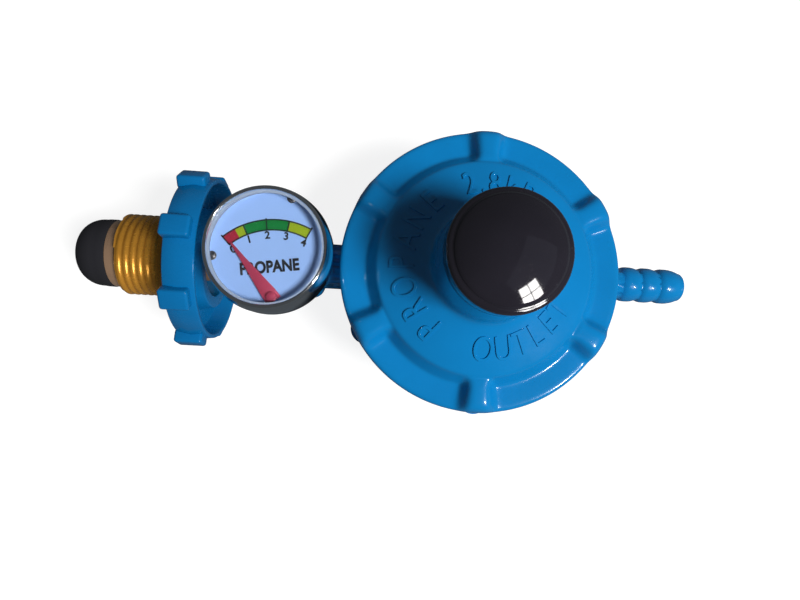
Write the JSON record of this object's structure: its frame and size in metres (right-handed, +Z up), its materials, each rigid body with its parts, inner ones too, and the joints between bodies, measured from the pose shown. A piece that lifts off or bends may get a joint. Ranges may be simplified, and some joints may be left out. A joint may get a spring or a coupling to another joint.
{
  "type": "gas regulator",
  "caption": "Low-pressure LP-gas regulator: round diaphragm housing, capped adjusting tower, hand-wheel cylinder inlet, pressure gauge and hose-barb outlet.",
  "frame": {"origin": "centre of the flat underside of the lower housing, on the diaphragm axis", "axes": "+Z up along the diaphragm axis towards the cap, +X from the inlet to the outlet, +Y completes the right-handed frame"},
  "size_m": [0.1714, 0.0778, 0.0721],
  "materials": {
    "blue_casting": "glossy baked enamel on die-cast zinc",
    "blue_plastic": "glossy moulded ABS",
    "black_plastic": "polished moulded cap",
    "brass": "machined",
    "steel": "zinc-plated pressing",
    "bezel_steel": "bright plated ring",
    "black_rubber": "moulded nitrile",
    "fibre": "sealing washer",
    "dial_white": "printed enamel",
    "pointer_red": "gloss enamel",
    "lens": "clear moulded window"
  },
  "bodies": {
    "housing": {"lower_housing": "blue_casting", "bonnet": "blue_casting", "flange_screws": "steel", "diaphragm": "black_rubber", "inlet_nipple": "brass", "nose_seal": "black_rubber", "inlet_filter": "brass", "inlet_nozzle": "brass", "lever_pin": "steel", "gauge_washer": "fibre", "gauge_stem": "brass", "gauge_case": "steel", "gauge_bezel": "bezel_steel", "lens_seal": "black_rubber", "gauge_lens": "lens", "gauge_dial": "dial_white", "gauge_bridge": "brass", "bourdon_tube": "brass", "tube_feed": "brass", "main_spring": "steel"},
    "union": {"union_nut": "brass", "hand_wheel": "blue_plastic"},
    "cap": {"adjuster_cap": "black_plastic"},
    "seat": {"spring_seat": "steel"},
    "adjuster": {"adjusting_screw": "black_plastic"},
    "stack": {"diaphragm_plate": "steel", "clamp_washer": "steel", "diaphragm_stem": "brass", "stem_nut": "steel"},
    "crank": {"lever": "steel"},
    "valve": {"valve_plunger": "brass", "valve_disc": "black_rubber"},
    "needle": {"gauge_pointer": "pointer_red", "pointer_shaft": "brass"}
  },
  "joints": [
    {"name": "handwheel_spin", "type": "hinge", "parent": "housing", "child": "union", "pos_m": [-0.08, 0, 0.013], "axis": [1, 0, 0], "continuous": true},
    {"name": "cap_lift", "type": "slide", "parent": "housing", "child": "cap", "axis": [0, 0, 1], "range_m": [0, 0.025]},
    {"name": "adjuster_travel", "type": "slide", "parent": "housing", "child": "seat", "axis": [0, 0, 1], "range_m": [-0.003, 0.003], "deforming": ["main_spring"]},
    {"name": "adjuster_turn", "type": "hinge", "parent": "seat", "child": "adjuster", "pos_m": [0, 0, 0.048], "axis": [0, 0, 1], "range_deg": [-723, 723]},
    {"name": "diaphragm_stroke", "type": "slide", "parent": "housing", "child": "stack", "axis": [0, 0, 1], "range_m": [-0.0015, 0.0011], "stiffness_N_per_m": 3000, "deforming": ["diaphragm", "main_spring"]},
    {"name": "lever_swing", "type": "hinge", "parent": "housing", "child": "crank", "pos_m": [-0.011, 0, 0.0082], "axis": [0, 1, 0], "range_deg": [-5.8, 7.9]},
    {"name": "valve_travel", "type": "slide", "parent": "housing", "child": "valve", "axis": [1, 0, 0], "range_m": [-0.00049, 0.00067]},
    {"name": "pointer_swing", "type": "hinge", "parent": "housing", "child": "needle", "pos_m": [-0.05299, -0.01147, 0.036], "axis": [0, 0, 1], "range_deg": [-65.9, 0], "stiffness_Nm_per_rad": 0.002}
  ],
  "couplings": [
    {"joint": "adjuster_turn", "follows": "adjuster_travel", "rad_per_m": 4188.8},
    {"joint": "lever_swing", "follows": "diaphragm_stroke", "rad_per_m": -90.909},
    {"joint": "valve_travel", "follows": "diaphragm_stroke", "ratio": -0.43636}
  ]
}
